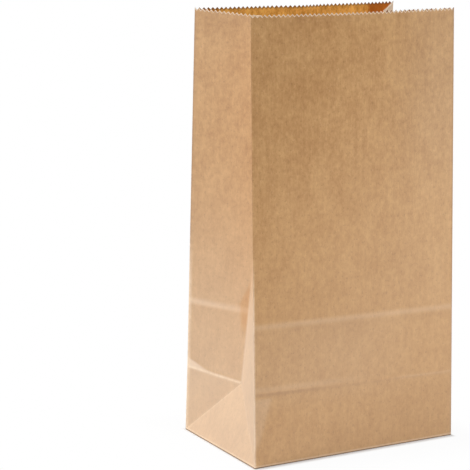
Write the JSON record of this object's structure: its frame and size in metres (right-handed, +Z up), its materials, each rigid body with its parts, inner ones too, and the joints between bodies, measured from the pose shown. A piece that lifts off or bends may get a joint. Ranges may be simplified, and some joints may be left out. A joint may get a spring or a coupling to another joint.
{
  "type": "paper bag",
  "caption": "Tall flat-bottomed kraft paper bag standing open, with folded-in side gussets, 45 degree base creases and a pinked zigzag rim.",
  "frame": {"origin": "middle of the base, on the plane the bag stands on", "axes": "+Z up the bag towards its open mouth, +X to the right along the wide front panel, +Y from the front panel towards the back panel"},
  "size_m": [0.1329, 0.083, 0.2451],
  "materials": {
    "kraft_paper": "matte"
  },
  "bodies": {
    "root": {"paper_bag": "kraft_paper"}
  },
  "joints": []
}
